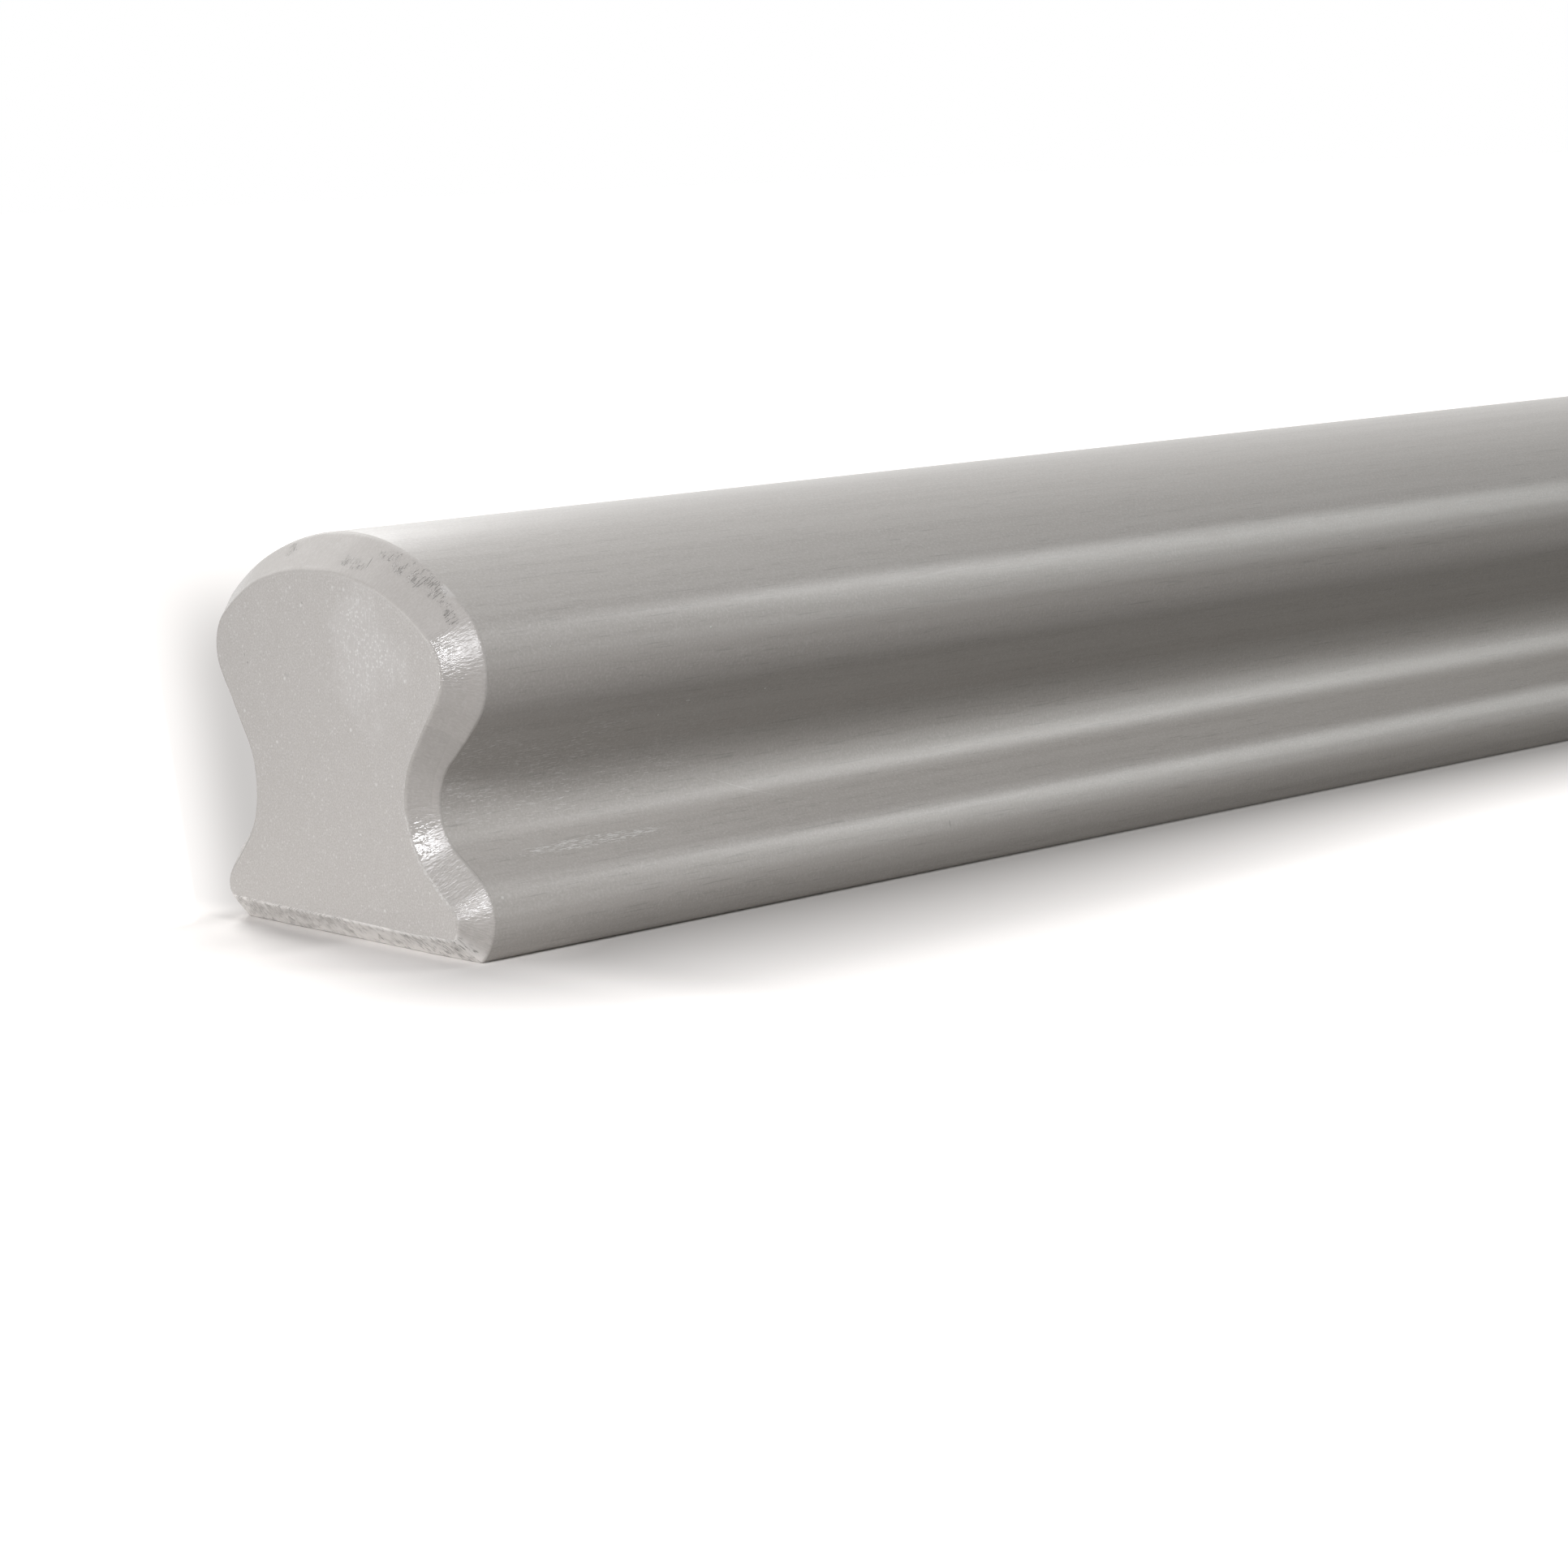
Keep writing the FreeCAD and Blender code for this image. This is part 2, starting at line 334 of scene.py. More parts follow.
# %% Finishes and UV map
MOULDED, ROUTED, CUT_END = range(3)
FLAT_END, SLOPING = 0.9999, 0.02
unrolled = rail_mesh.loops.layers.uv.new("unrolled")
rail_mesh.normal_update()
for face in rail_mesh.faces:
    face.smooth = True
    slope = abs(face.normal.x)
    face.material_index = CUT_END if slope > FLAT_END else ROUTED if slope > SLOPING else MOULDED
    side = math.copysign(1, face.calc_center_median().y)
    stretch = math.sqrt(2) if face.material_index == ROUTED else 1.0
    for corner in face.loops:
        corner[unrolled].uv = (side * abs(corner.vert[girth]), corner.vert.co.x * stretch)
rail_data = bpy.data.meshes.new("painted_rail")
rail_mesh.to_mesh(rail_data)
rail_mesh.free()
painted_rail = bpy.data.objects.new("painted_rail", rail_data)
bpy.context.scene.collection.objects.link(painted_rail)
rail_data.calc_loop_triangles()
print("triangles:", len(rail_data.loop_triangles),
      "size in mm:", [round(side / MM, 3) for side in painted_rail.dimensions])

# %% [markdown]
# ## Paint
#
# A brushed coat is never flat.  Its hairs and the grain below leave fine lines
# along the stick, the wet film pulls into a shallow orange peel, and dust
# settles in it.  Each of these is a node group with sizes and depths in metres,
# so that every finish can use it at its own scale.  A height in metres goes
# into a Bump node with a distance of one, which keeps the relief true to size.

# %% Helpers for node trees


def add_node(tree, kind, settings=None, **inputs):
    """Add a node, set its properties, and give its named inputs a value or a link."""
    made = tree.nodes.new(kind)
    for name, value in (settings or {}).items():
        setattr(made, name, value)
    for name, value in inputs.items():
        by_number = name[0] == "i" and name[1:].isdigit()
        socket = made.inputs[int(name[1:])] if by_number else made.inputs[name]
        if isinstance(value, bpy.types.NodeSocket):
            tree.links.new(value, socket)
        else:
            socket.default_value = value
    return made


def numbered(values):
    """Name values by the number of the input that they go to."""
    return {f"i{place}": value for place, value in enumerate(values)}


def calc(tree, operation, *values, clamp=False):
    """Add a Math node and return its result."""
    settings = {"operation": operation, "use_clamp": clamp}
    return add_node(tree, "ShaderNodeMath", settings, **numbered(values)).outputs[0]


def turn_vector(tree, operation, *values, **named):
    """Add a Vector Math node and return its vector."""
    settings = {"operation": operation}
    return add_node(tree, "ShaderNodeVectorMath", settings, **numbered(values), **named).outputs["Vector"]


def length_of(tree, vector):
    """Return the length of a vector."""
    settings = {"operation": "LENGTH"}
    return add_node(tree, "ShaderNodeVectorMath", settings, i0=vector).outputs["Value"]


def step_between(tree, value, low, high, bottom=0.0, top=1.0):
    """Ease a value from bottom to top while it goes from low to high."""
    settings = {"interpolation_type": "SMOOTHSTEP"}
    inputs = {"Value": value, "From Min": low, "From Max": high, "To Min": bottom, "To Max": top}
    return add_node(tree, "ShaderNodeMapRange", settings, **inputs).outputs["Result"]


def blend_colours(tree, factor, first, second):
    """Mix two colours and return the result."""
    mix = add_node(tree, "ShaderNodeMix", {"data_type": "RGBA"}, i0=factor, i6=first, i7=second)
    return mix.outputs[2]


# %% Helpers that join masks and colours


def product(tree, *values):
    """Multiply any number of values."""
    result = values[0]
    for value in values[1:]:
        result = calc(tree, "MULTIPLY", result, value)
    return result


def largest(tree, masks):
    """Join masks by taking the largest at each place."""
    joined = masks[0]
    for mask in masks[1:]:
        joined = calc(tree, "MAXIMUM", joined, mask)
    return joined


def stretch(tree, value, rise, fall):
    """Return a mask that rises over the first pair of values and falls over the second."""
    return product(tree, step_between(tree, value, *rise), step_between(tree, value, *fall))


def tinted(tree, colour, mask, share, second):
    """Lay this share of a second colour over the first where the mask is 1."""
    return blend_colours(tree, product(tree, mask, share), colour, second)


def shaded(tree, colour, tone, low, high, share, second):
    """Lay up to this share of a second colour as a tone goes from low to high."""
    return blend_colours(tree, step_between(tree, tone, low, high, 0.0, share), colour, second)


# %% Helpers for node groups


def new_group(name, inputs, outputs):
    """Make an empty shader node group with named sockets."""
    group = bpy.data.node_groups.new(name, "ShaderNodeTree")
    for label, kind, value in inputs:
        socket = group.interface.new_socket(label, in_out="INPUT", socket_type=f"NodeSocket{kind}")
        if value is not None:
            socket.default_value = value
    for label in outputs:
        group.interface.new_socket(label, in_out="OUTPUT", socket_type="NodeSocketFloat")
    given = group.nodes.new("NodeGroupInput").outputs
    result = group.nodes.new("NodeGroupOutput").inputs
    return group, given, result


def use_group(tree, group, **inputs):
    """Place a group in a material with its own values and return its outputs."""
    return add_node(tree, "ShaderNodeGroup", {"node_tree": group}, **inputs).outputs


def in_units(tree, vector, size):
    """Count a place in units of this size, which sets the size of a texture."""
    return turn_vector(tree, "SCALE", vector, Scale=calc(tree, "DIVIDE", 1.0, size))


def noise_tone(tree, vector, detail, roughness=0.5):
    """Return a smooth noise about one half."""
    return add_node(tree, "ShaderNodeTexNoise", Vector=vector, Scale=1.0, Detail=detail,
                    Roughness=roughness).outputs["Fac"]


def relief(tree, tone, depth):
    """Turn a noise about one half into a height about zero."""
    return calc(tree, "MULTIPLY", calc(tree, "SUBTRACT", tone, 0.5), depth)


# %% [markdown]
# Lines along the wood come from one noise that is stretched: a place is divided
# by the length of a line in its first direction and by the spacing in the other
# two.  On the long faces the first direction is X.  On a chamfer it runs across
# the cut, as the torn fibres do.

# %% Grain lines
grain_lines, given, result = new_group(
    "grain lines",
    [("Vector", "Vector", None), ("Length", "Float", 0.03), ("Spacing", "Float", 0.0005),
     ("Depth", "Float", 1e-6)],
    ["Height", "Tone"])
hair = add_node(grain_lines, "ShaderNodeCombineXYZ",
                X=given["Length"], Y=given["Spacing"], Z=given["Spacing"]).outputs[0]
stretched = turn_vector(grain_lines, "DIVIDE", given["Vector"], hair)
tone = noise_tone(grain_lines, stretched, 2.0, 0.6)
grain_lines.links.new(relief(grain_lines, tone, given["Depth"]), result["Height"])
grain_lines.links.new(tone, result["Tone"])
print("made", grain_lines.name)

# %% Orange peel
orange_peel, given, result = new_group(
    "orange peel",
    [("Vector", "Vector", None), ("Size", "Float", 0.002), ("Depth", "Float", 1e-6)],
    ["Height", "Tone"])
tone = noise_tone(orange_peel, in_units(orange_peel, given["Vector"], given["Size"]), 2.0, 0.55)
orange_peel.links.new(relief(orange_peel, tone, given["Depth"]), result["Height"])
orange_peel.links.new(tone, result["Tone"])
print("made", orange_peel.name)

# %% [markdown]
# Dust nibs and raised fibre tips are round dots of different sizes.  A Voronoi
# texture scatters a point in every cell, and the cell's own random colour says
# whether there is a dot at all and how large it is.

# %% Nibs
nibs, given, result = new_group(
    "nibs",
    [("Vector", "Vector", None), ("Spacing", "Float", 0.001), ("Size", "Float", 0.0001),
     ("Share", "Float", 0.5)],
    ["Mask"])
cell_place = in_units(nibs, given["Vector"], given["Spacing"])
cells = add_node(nibs, "ShaderNodeTexVoronoi", Vector=cell_place, Scale=1.0).outputs
chance = add_node(nibs, "ShaderNodeSeparateColor", Color=cells["Color"]).outputs
reach = calc(nibs, "MULTIPLY", calc(nibs, "DIVIDE", given["Size"], given["Spacing"]), chance[1])
near = calc(nibs, "SUBTRACT", 1.0, calc(nibs, "DIVIDE", cells["Distance"], reach), clamp=True)
picked = calc(nibs, "LESS_THAN", chance[0], given["Share"])
nibs.links.new(calc(nibs, "MULTIPLY", near, picked), result["Mask"])
print("made", nibs.name)

# %% [markdown]
# A patch is a place on the stick that differs from the rest, such as a lighter
# blotch or a worn spot.  Its edge is ragged, because paint never ends on a line.

# %% Ragged patch
ragged_patch, given, result = new_group(
    "ragged patch",
    [("Vector", "Vector", None), ("Centre", "Vector", None), ("Squash", "Vector", (1, 1, 1)),
     ("Reach", "Float", 0.01), ("Softness", "Float", 0.002), ("Ragged", "Float", 0.002),
     ("Grain", "Float", 0.002)],
    ["Mask"])
offset = turn_vector(ragged_patch, "SUBTRACT", given["Vector"], given["Centre"])
offset = turn_vector(ragged_patch, "MULTIPLY", offset, given["Squash"])
away = length_of(ragged_patch, offset)
frayed = noise_tone(ragged_patch, in_units(ragged_patch, given["Vector"], given["Grain"]), 3.0)
frayed = relief(ragged_patch, frayed, given["Ragged"])
inside = calc(ragged_patch, "ADD", calc(ragged_patch, "SUBTRACT", given["Reach"], away), frayed)
inside = calc(ragged_patch, "DIVIDE", inside, given["Softness"])
ragged_patch.links.new(step_between(ragged_patch, inside, 0.0, 1.0), result["Mask"])
print("node groups:", [group.name for group in bpy.data.node_groups])

# %% [markdown]
# ## Three finishes of one paint
#
# All three share one warm grey.  What differs is how the wood took it.  The
# shader's own sockets hold what is the same all over, and only what changes over
# the surface comes from nodes.

# %% Paint colours
PAINT = (0.46, 0.437, 0.410, 1.0)
PAINT_DARK = (0.425, 0.402, 0.376, 1.0)
PAINT_PALE = (0.52, 0.500, 0.478, 1.0)
# Pale of dust nibs and scratches, also used for painted glints and painted sheen.
NIB_AND_GLINT = (0.72, 0.71, 0.69, 1.0)
# Painted light from below, laid on the underside of the routed chamfer.
PAINTED_LIGHT_FROM_BELOW = (0.87, 0.845, 0.815, 1.0)
# Dark of torn fibres and hairs, also used for painted shade on the chamfer.
TORN_FIBRE_AND_SHADE = (0.20, 0.19, 0.175, 1.0)


def new_finish(name):
    """Make a material and return it with its node tree and its shader."""
    material = bpy.data.materials.new(name)
    material.use_nodes = True
    shader = next(n for n in material.node_tree.nodes if n.type == "BSDF_PRINCIPLED")
    return material, material.node_tree, shader


def lay_on(tree, shader, colour, roughness, heights):
    """Link a finish's colour, roughness and added-up heights to its shader."""
    tree.links.new(colour, shader.inputs["Base Color"])
    tree.links.new(roughness, shader.inputs["Roughness"])
    total = heights[0]
    for height in heights[1:]:
        total = calc(tree, "ADD", total, height)
    bump = add_node(tree, "ShaderNodeBump", Strength=1.0, Distance=1.0, Height=total).outputs[0]
    tree.links.new(bump, shader.inputs["Normal"])


# %% [markdown]
# Some marks sit at a known place: a scratch, a hair in the film, a single nib, a
# group of pits.  A mark is a small oval, and its place is given on the unrolled
# paint: how far round from the top of the crown, and how far along from the
# middle of the stick.  Places on the side that faces the camera have a minus.
#
# Other changes belong to a stretch along the stick or round it.  A change is
# written as the place where it begins and the place where it is full.

# %% Helpers for marks and stretches


def unrolled_place(tree):
    """Return the place on the unrolled paint, and its two parts."""
    laid = add_node(tree, "ShaderNodeUVMap", {"uv_map": "unrolled"}).outputs[0]
    parts = add_node(tree, "ShaderNodeSeparateXYZ", Vector=laid).outputs
    return laid, parts[0], parts[1]


def mark(tree, laid, centre, half_size, turn=0.0):
    """Return the mask of one oval mark; its sizes are half the width and length."""
    turned = {"Location": (*centre, 0), "Rotation": (0, 0, math.radians(turn)), "Scale": (*half_size, 1)}
    local = add_node(tree, "ShaderNodeMapping", {"vector_type": "TEXTURE"}, Vector=laid, **turned).outputs[0]
    return step_between(tree, length_of(tree, local), 1.1, 0.6)


def in_mm(*lengths):
    """Turn lengths in millimetres into metres."""
    return tuple(length * MM for length in lengths)


def from_end(*distances):
    """Places along X at these distances in millimetres from the near end."""
    return tuple(rail_low.x + distance * MM for distance in distances)


# %% [markdown]
# ### Moulded faces
#
# The long faces were planed by the moulder and are satin.  Fine lines run along
# them.  Short raised fibres stand up in the cove and just above it near the end,
# where the sander doesn't reach, and one close row of them lies above the foot.
# Their glints are laid into the colour as pale dashes, a painted highlight.

# %% Moulded faces
moulded_paint, tree, shader = new_finish("moulded_paint")
spot = tree.nodes.new("ShaderNodeTexCoord").outputs["Object"]
laid, _, along = unrolled_place(tree)
fine = use_group(tree, grain_lines, Vector=spot, Length=0.006, Spacing=0.00024, Depth=4.5e-6)
broad = use_group(tree, grain_lines, Vector=spot, Length=0.09, Spacing=0.0016, Depth=8e-6)
peel = use_group(tree, orange_peel, Vector=spot, Size=0.0022, Depth=7e-6)
film = use_group(tree, orange_peel, Vector=spot, Size=0.00032, Depth=1.6e-6)
cloud = use_group(tree, orange_peel, Vector=spot, Size=0.012, Depth=0.0)["Tone"]
dust = use_group(tree, nibs, Vector=spot, Spacing=0.009, Size=0.00035, Share=0.5)["Mask"]
fibre = use_group(tree, grain_lines, Vector=spot, Length=0.0013, Spacing=0.00015, Depth=0.0)["Tone"]
print("nodes:", len(tree.nodes))

# %% Raised fibres and their painted glints
FIBRES_ALONG = from_end(60, 15)
FIBRES_FROM_BELOW, FIBRES_FROM_ABOVE = in_mm(14.5, 18.0), in_mm(31.0, 26.0)
ROW_ABOVE_FOOT = ((-0.0646, -0.7265), (0.0012, 0.0140))
CLOSER_IN_ROW = 0.07
up = add_node(tree, "ShaderNodeSeparateXYZ", Vector=spot).outputs[2]
in_cove = product(tree, stretch(tree, up, FIBRES_FROM_BELOW, FIBRES_FROM_ABOVE),
                  step_between(tree, along, *FIBRES_ALONG),
                  step_between(tree, cloud, 0.36, 0.60, 0.25, 1.0))
row = mark(tree, laid, *ROW_ABOVE_FOOT)
fibre = calc(tree, "MULTIPLY_ADD", row, CLOSER_IN_ROW, fibre)
glinting_raised_fibres = product(tree, step_between(tree, fibre, 0.57, 0.65), largest(tree, [in_cove, row]))
print("nodes:", len(tree.nodes))

# %% Marks on the moulded faces
SINGLE_NIBS = [((-0.0336, -0.7090), (0.00016, 0.00018)), ((-0.0444, -0.6970), (0.00014, 0.00018)),
               ((-0.0444, -0.7105), (0.00011, 0.00042)), ((-0.0332, -0.7355), (0.00011, 0.00014)),
               ((-0.0465, -0.7145), (0.00015, 0.00020))]
SCRATCH = ((-0.0606, -0.6970), (0.00010, 0.0072), 23.0)
HAIR_IN_FILM = ((-0.0724, -0.6670), (0.00060, 0.00010))
single_nibs = largest(tree, [mark(tree, laid, *one) for one in SINGLE_NIBS])
scratch = mark(tree, laid, *SCRATCH)
hair_in_film = mark(tree, laid, *HAIR_IN_FILM)
print("marks placed on the moulded faces:", len(SINGLE_NIBS) + 3)

# %% Colour and relief of the moulded faces
NIB_HEIGHT, FIBRE_HEIGHT = 6e-5, 1.5e-5
colour = blend_colours(tree, step_between(tree, broad["Tone"], 0.3, 0.7), PAINT_DARK, PAINT)
colour = shaded(tree, colour, film["Tone"], 0.45, 0.75, 0.80, PAINT_PALE)
colour = shaded(tree, colour, film["Tone"], 0.45, 0.25, 0.16, TORN_FIBRE_AND_SHADE)
colour = shaded(tree, colour, fine["Tone"], 0.42, 0.28, 0.30, TORN_FIBRE_AND_SHADE)
# Painted highlight: the raised fibres are laid pale, as glints of light.
colour = tinted(tree, colour, glinting_raised_fibres, 0.75, NIB_AND_GLINT)
colour = tinted(tree, colour, scratch, 0.25, NIB_AND_GLINT)
colour = blend_colours(tree, largest(tree, [dust, single_nibs]), colour, NIB_AND_GLINT)
colour = tinted(tree, colour, hair_in_film, 0.8, TORN_FIBRE_AND_SHADE)
roughness = step_between(tree, fine["Tone"], 0.3, 0.7, 0.29, 0.36)
lay_on(tree, shader, colour, roughness, [
    fine["Height"], broad["Height"], peel["Height"], film["Height"],
    product(tree, largest(tree, [dust, single_nibs]), NIB_HEIGHT), product(tree, glinting_raised_fibres, FIBRE_HEIGHT)])
print("nodes in the moulded paint:", len(tree.nodes))

# %% [markdown]
# ### Routed chamfer
#
# The router cut across the fibres.  Over the crown it tore a few groups of them
# out, and the paint could not fill the small dark pits that they left.  Down the
# side the coat is thick and glossy, and it wrinkled as it dried, most of all
# beside the cut end.  On the skirt it is duller, and painted shade makes it a
# little darker.  On the front a painted highlight, a thin bright line, follows the
# rim of the cut end from the cove to the foot, and a glossy corner near the crown
# is laid paler as a painted sheen.  On the foot the brush left dull marks in the
# gloss.  Under the foot the coat is dull, with open grain, and it is laid pale as
# painted light from below.  A second stroke of the brush ended on the side and
# left a ragged lap, and below it the paint is laid darker as painted shade.

# %% Changes round the routed chamfer, from the crown
OVER_CROWN, UNDER_FOOT = in_mm(28.5, 25.5), in_mm(76.5, 81.0)
FLANK_STARTS, FLANK_ENDS = in_mm(36.8, 40.0), in_mm(56.0, 52.0)
SKIRT_STARTS, SKIRT_ENDS = in_mm(60.0, 61.8), in_mm(70.0, 68.0)
GLINT_STARTS, GLINT_ENDS = in_mm(-56.0, -58.0), in_mm(-75.0, -73.0)
FOOT_STARTS, FOOT_ENDS = in_mm(66.0, 70.0), in_mm(79.0, 76.0)
GLOSS_OF_FOOT = in_mm(64.0, 70.0)
DULL_RIM_ENDS, LAP_ENDS = in_mm(27.0, 22.0), in_mm(60.0, 47.0)
BACK_OF_CROWN, UNDER_FRONT_FOOT = in_mm(12.0, 26.0), in_mm(-94.0, -84.0)
# Along the stick, stretched as the UV map is
INNER_PART = in_mm(1056.2, 1060.0)

# %% Zones of the routed chamfer
routed_paint, tree, shader = new_finish("routed_paint")
texture_places = tree.nodes.new("ShaderNodeTexCoord").outputs
spot = texture_places["Object"]
laid, around, along = unrolled_place(tree)
across = add_node(tree, "ShaderNodeCombineXYZ", X=along, Y=around).outputs[0]
girth_place = calc(tree, "ABSOLUTE", around)
inner_share = step_between(tree, calc(tree, "ABSOLUTE", along), *INNER_PART)
over_crown = step_between(tree, girth_place, *OVER_CROWN)
under_foot = step_between(tree, girth_place, *UNDER_FOOT)
rough_zone = largest(tree, [over_crown, under_foot])
facing = add_node(tree, "ShaderNodeSeparateXYZ", Vector=texture_places["Normal"]).outputs[0]
rim = step_between(tree, calc(tree, "ABSOLUTE", facing), 0.62, 0.50)
dull_rim = product(tree, rim, step_between(tree, girth_place, *DULL_RIM_ENDS))
rim = calc(tree, "SUBTRACT", rim, dull_rim)
# The ragged lap of a second brush stroke; below it the paint is laid darker as painted shade.
lap_and_shade = use_group(tree, ragged_patch, Vector=laid, Centre=(-0.0530, -1.058, 0), Squash=(1, 0.9, 1),
                Reach=0.0074, Softness=0.0004, Ragged=0.0016, Grain=0.0016)["Mask"]
lap_and_shade = product(tree, lap_and_shade, step_between(tree, girth_place, *LAP_ENDS))
print("nodes:", len(tree.nodes))

# %% Grain and film of the routed chamfer
streaks = use_group(tree, grain_lines, Vector=across, Length=0.0012, Spacing=0.00020, Depth=1.6e-5)
wrinkles = use_group(tree, grain_lines, Vector=across, Length=0.0011, Spacing=0.00042, Depth=1.3e-4)
ripples = use_group(tree, orange_peel, Vector=spot, Size=0.0013, Depth=7e-5)
peel = use_group(tree, orange_peel, Vector=spot, Size=0.0016, Depth=1.2e-5)
film = use_group(tree, orange_peel, Vector=spot, Size=0.00032, Depth=2.0e-6)
clump = use_group(tree, orange_peel, Vector=spot, Size=0.0015, Depth=0.0)["Tone"]
cluster = use_group(tree, orange_peel, Vector=spot, Size=0.0030, Depth=0.0)["Tone"]
print("nodes:", len(tree.nodes))

# %% Torn pits and open grain
PIT_GROUPS = [((-0.0170, -1.0560), (0.0086, 0.0017), 0.0), ((-0.0261, -1.0566), (0.0018, 0.0009), 0.0),
              ((-0.0050, -1.0583), (0.0042, 0.0012), 6.0), ((0.0100, -1.0566), (0.0020, 0.0014), 0.0)]
ROUTER_SCRATCH = ((-0.0086, -1.0577), (0.00009, 0.00100), -12.0)
# A glossy corner near the crown; its pale tint is a painted sheen.
SHEEN_CORNER = ((-0.0227, -1.0545), (0.0017, 0.0010), -20.0)
MORE_GRAIN_INSIDE, MORE_TORN_BY_WEAR = 0.06, 0.09
pit_groups = largest(tree, [mark(tree, laid, *one) for one in PIT_GROUPS])
pit_groups = product(tree, pit_groups, step_between(tree, clump, 0.40, 0.60, 0.15, 1.0))
router_scratch = mark(tree, laid, *ROUTER_SCRATCH)
sheen_corner = mark(tree, laid, *SHEEN_CORNER)
far_groups = product(tree, over_crown, step_between(tree, cluster, 0.52, 0.62),
                     step_between(tree, along, -0.5, 0.5))
front_part = step_between(tree, around, *UNDER_FRONT_FOOT, 0.0, 0.10)
open_grain = calc(tree, "MULTIPLY_ADD", inner_share, MORE_GRAIN_INSIDE, clump)
open_grain = calc(tree, "ADD", open_grain, front_part)
open_grain = product(tree, step_between(tree, open_grain, 0.40, 0.76), under_foot)
wear = largest(tree, [pit_groups, far_groups, open_grain])
torn = calc(tree, "MULTIPLY_ADD", wear, MORE_TORN_BY_WEAR, streaks["Tone"])
torn = product(tree, step_between(tree, torn, 0.59, 0.68), step_between(tree, wear, 0.05, 0.4))
torn = largest(tree, [torn, router_scratch])
print("groups of pits on the chamfer:", len(PIT_GROUPS))

# %% Colour of the routed chamfer
# The skirt is duller, and it is laid a little darker as painted shade.
skirt_and_shade = stretch(tree, girth_place, SKIRT_STARTS, SKIRT_ENDS)
# Painted highlight: a thin bright glint along the rim of the cut end.
rim_glint = product(tree, step_between(tree, calc(tree, "ABSOLUTE", facing), 0.78, 0.86),
                      step_between(tree, film["Tone"], 0.44, 0.58, 0.25, 1.0),
                      step_between(tree, around, *GLINT_STARTS), step_between(tree, around, *GLINT_ENDS))
# Painted light among these tints: pale under the foot is painted light from below, and the pits are real.
TINTS = [(under_foot, 0.90, PAINTED_LIGHT_FROM_BELOW), (sheen_corner, 0.30, NIB_AND_GLINT), (lap_and_shade, 0.15, TORN_FIBRE_AND_SHADE),
         (skirt_and_shade, 0.13, TORN_FIBRE_AND_SHADE), (rim_glint, 0.45, NIB_AND_GLINT), (wear, 0.12, TORN_FIBRE_AND_SHADE),
         (torn, 0.74, TORN_FIBRE_AND_SHADE)]
colour = blend_colours(tree, step_between(tree, streaks["Tone"], 0.35, 0.65), PAINT_DARK, PAINT)
colour = shaded(tree, colour, film["Tone"], 0.45, 0.75, 0.5, PAINT_PALE)
for mask, share, second in TINTS:
    colour = tinted(tree, colour, mask, share, second)
print("tints on the chamfer:", len(TINTS))

# %% Roughness of the routed chamfer
GLASSY, SIDE_COAT, FOOT_COAT, SKIRT_COAT, DRY_WOOD = 0.07, 0.32, 0.17, 0.34, 0.42
RIM_ROUGHER, MARK_ROUGHER, TORN_ROUGHER = 0.25, 0.26, 0.20
outer = step_between(tree, girth_place, *GLOSS_OF_FOOT, SIDE_COAT, FOOT_COAT)
roughness = calc(tree, "MULTIPLY_ADD", inner_share, calc(tree, "SUBTRACT", GLASSY, outer), outer)
roughness = largest(tree, [roughness, step_between(tree, rough_zone, 0.0, 1.0, GLASSY, DRY_WOOD)])
roughness = largest(tree, [roughness, product(tree, skirt_and_shade, SKIRT_COAT)])
roughness = product(tree, roughness, step_between(tree, around, *BACK_OF_CROWN, 1.0, 0.5))
glossy_places = largest(tree, [rim, sheen_corner])
roughness = product(tree, roughness, step_between(tree, glossy_places, 0.0, 1.0, 1.0, 0.5))
roughness = calc(tree, "MULTIPLY_ADD", dull_rim, RIM_ROUGHER, roughness)
brush_marks = product(tree, stretch(tree, girth_place, FOOT_STARTS, FOOT_ENDS),
                      step_between(tree, streaks["Tone"], 0.44, 0.54))
roughness = calc(tree, "MULTIPLY_ADD", brush_marks, MARK_ROUGHER, roughness)
roughness = calc(tree, "MULTIPLY_ADD", torn, TORN_ROUGHER, roughness)
print("nodes:", len(tree.nodes))

# %% Relief of the routed chamfer
PIT_DEPTH = -5e-5
CALM_ON_FLANK, CALM_ON_FOOT, STREAKS_ON_FOOT = -0.75, 0.60, 2.5
thick_coat = calc(tree, "SUBTRACT", 1.0, rough_zone)
on_flank = stretch(tree, girth_place, FLANK_STARTS, FLANK_ENDS)
wrinkled = product(tree, thick_coat, step_between(tree, inner_share, 0.0, 1.0, 0.75, 1.0),
                   calc(tree, "MULTIPLY_ADD", on_flank, CALM_ON_FLANK, 1.0),
                   calc(tree, "SUBTRACT", 1.0, rim),
                   step_between(tree, girth_place, *FOOT_STARTS, 1.0, CALM_ON_FOOT))
foot_streaks = step_between(tree, girth_place, *FOOT_STARTS, 0.0, STREAKS_ON_FOOT)
streaky = largest(tree, [rough_zone, foot_streaks])
lay_on(tree, shader, colour, roughness, [
    product(tree, streaks["Height"], streaky), product(tree, wrinkles["Height"], wrinkled),
    product(tree, ripples["Height"], wrinkled), peel["Height"], film["Height"],
    product(tree, torn, PIT_DEPTH)])
print("nodes in the routed paint:", len(tree.nodes))

# %% [markdown]
# ### Cut end
#
# End grain drinks paint, so the cut end dried matt, with countless fibre tips.
# Their glints are laid pale, a painted highlight, and they stand closest in one
# broad painted sheen above the middle, which is also laid paler and where they
# run down in short strokes.  A few pinholes are left, and one faint ring where a
# bubble burst.

